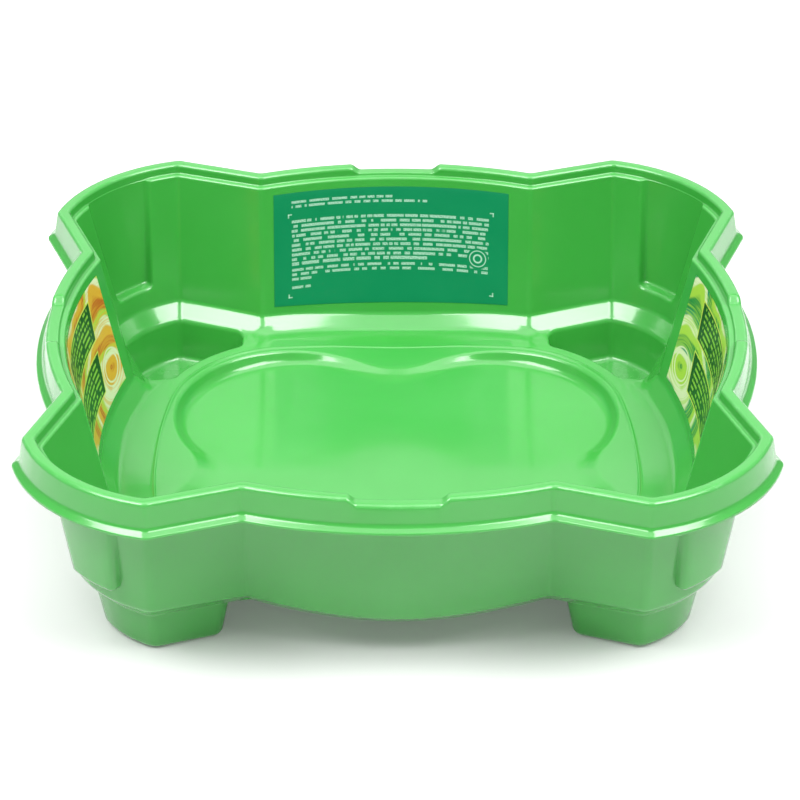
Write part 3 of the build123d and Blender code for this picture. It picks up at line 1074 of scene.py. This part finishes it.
class PLAYTUB_OT_labels(bpy.types.Operator):
    """Make the three printed labels"""
    bl_idname = "playtub.labels"
    bl_label = "Labels"

    def execute(self, context):
        finish = context.scene.play_tub_finish
        orange, amber = (0.52, 0.10, 0.01), (0.72, 0.36, 0.03)
        cream, lime, leaf = (0.72, 0.74, 0.50), (0.40, 0.60, 0.06), (0.02, 0.22, 0.05)
        teal = (0.01, 0.24, 0.12)
        prints = (
            ("back_label", 0, context.scene.play_tub_labels.back_shift / MM, "back_print",
             back_print_material(finish)),
            ("left_label", 3, 0, "left_print",
             side_print_material("left_print", orange, amber, cream, lime, False)),
            ("right_label", 1, 0, "right_print",
             side_print_material("right_print", leaf, lime, cream, teal, True)),
        )
        for node, turn, shift, slot, material in prints:
            points, faces, printed = label_sheet(
                context.scene.play_tub_sizes, context.scene.play_tub_labels, turn, shift
            )
            piece = new_piece(node + "_film", points, faces)
            layer = piece.data.uv_layers.new(name="print")
            corners = np.empty(len(piece.data.loops), np.int32)
            piece.data.loops.foreach_get("vertex_index", corners)
            layer.data.foreach_set("uv", printed[corners].ravel().astype(np.float32))
            thicken(piece, context.scene.play_tub_labels.film)
            piece.data.materials.append(material)
            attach(piece, BODY)
            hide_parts(node)
        return {"FINISHED"}


class PLAYTUB_OT_stage(bpy.types.Operator):
    """Make the pale floor, the soft lights and the camera"""
    bl_idname = "playtub.stage"
    bl_label = "Stage"

    FLOOR_HALF = 6.0
    FLOOR_DROP = 0.0002         # the floor lies this far below the feet
    WORLD_STRENGTH = 0.38
    LIGHT_AIM = (0, 0, 0.05)
    LENS, SENSOR, FAR = 172.41, 36.0, 50.0
    CAMERA_PLACE = (-0.008695, -2.02705, 1.23682)
    CAMERA_ANGLES = (60.045, -0.067, -0.263)    # degrees about X, Y and Z
    LIGHTS = (
        # name, place, power, width, height
        ("high_light", (0.0, 0.1, 2.6), 58.0, 3.2, 2.4),
        ("upper_left_light", (-1.3, -0.8, 2.2), 54.0, 1.5, 1.1),
        ("upper_right_light", (1.3, -0.8, 2.2), 54.0, 1.5, 1.1),
        ("back_light", (0.0, 2.9, 1.9), 26.0, 5.0, 2.0),
    )

    def execute(self, context):
        scene = context.scene
        half = self.FLOOR_HALF
        corners = np.array([(-half, -half, 0), (half, -half, 0), (half, half, 0), (-half, half, 0)])
        floor = new_piece("stage_floor", corners - [0, 0, self.FLOOR_DROP], [[0, 1, 2, 3]])
        s = Shader("pale_floor")
        tone = s.noise(s.place(), 3.0, 2.0)
        low = [0.985 * c for c in scene.play_tub_finish.floor]
        shade = s.mix(tone, low, scene.play_tub_finish.floor[:])
        floor.data.materials.append(s.finish(
            Base_Color=shade, Roughness=0.75, Specular_IOR_Level=0.2,
            Emission_Color=(1.0, 1.0, 1.0, 1.0), Emission_Strength=0.12,
        ))
        world = bpy.data.worlds.new("studio")
        world.use_nodes = True
        background = world.node_tree.nodes["Background"]
        background.inputs["Color"].default_value = (1.0, 1.0, 1.0, 1.0)
        background.inputs["Strength"].default_value = self.WORLD_STRENGTH
        scene.world = world
        for name, place, power, width, height in self.LIGHTS:
            lamp = bpy.data.lights.new(name, "AREA")
            lamp.shape = "RECTANGLE"
            lamp.size, lamp.size_y, lamp.energy = width, height, power
            light = bpy.data.objects.new(name, lamp)
            back = np.array(place) - self.LIGHT_AIM
            turn = Vector(back / np.linalg.norm(back)).to_track_quat("Z", "Y")
            light.matrix_world = Matrix.Translation(place) @ turn.to_matrix().to_4x4()
            scene.collection.objects.link(light)
        scene.view_settings.view_transform = "Standard"
        eye = bpy.data.cameras.new("camera")
        eye.sensor_width, eye.lens, eye.clip_end = self.SENSOR, self.LENS, self.FAR
        camera = bpy.data.objects.new("camera", eye)
        camera.rotation_euler = [math.radians(a) for a in self.CAMERA_ANGLES]
        camera.location = self.CAMERA_PLACE
        scene.collection.objects.link(camera)
        scene.camera = camera
        return {"FINISHED"}


SETTINGS = {"play_tub_sizes": TubSizes, "play_tub_labels": LabelSizes, "play_tub_finish": Finish}
OPERATORS = (PLAYTUB_OT_tub, PLAYTUB_OT_labels, PLAYTUB_OT_stage)


class PLAYTUB_PT_panel(bpy.types.Panel):
    """Sizes, colours and pieces of the play tub"""
    bl_idname = "PLAYTUB_PT_panel"
    bl_label = "Play tub"
    bl_space_type = "VIEW_3D"
    bl_region_type = "UI"
    bl_category = "Play tub"

    def draw(self, context):
        for group in SETTINGS:
            box = self.layout.box()
            settings = getattr(context.scene, group)
            for name in type(settings).__annotations__:
                box.prop(settings, name)
        for operator in OPERATORS:
            self.layout.operator(operator.bl_idname)


CLASSES = (*SETTINGS.values(), *OPERATORS, PLAYTUB_PT_panel)


def register():
    for cls in CLASSES:
        bpy.utils.register_class(cls)
    for name, group in SETTINGS.items():
        setattr(bpy.types.Scene, name, bpy.props.PointerProperty(type=group))


def unregister():
    for name in SETTINGS:
        delattr(bpy.types.Scene, name)
    for cls in reversed(CLASSES):
        bpy.utils.unregister_class(cls)


def main():
    """Makes everything."""
    register()
    bpy.ops.playtub.stage()
    bpy.ops.playtub.tub()
    bpy.ops.playtub.labels()


if __name__ == "__main__":
    main()
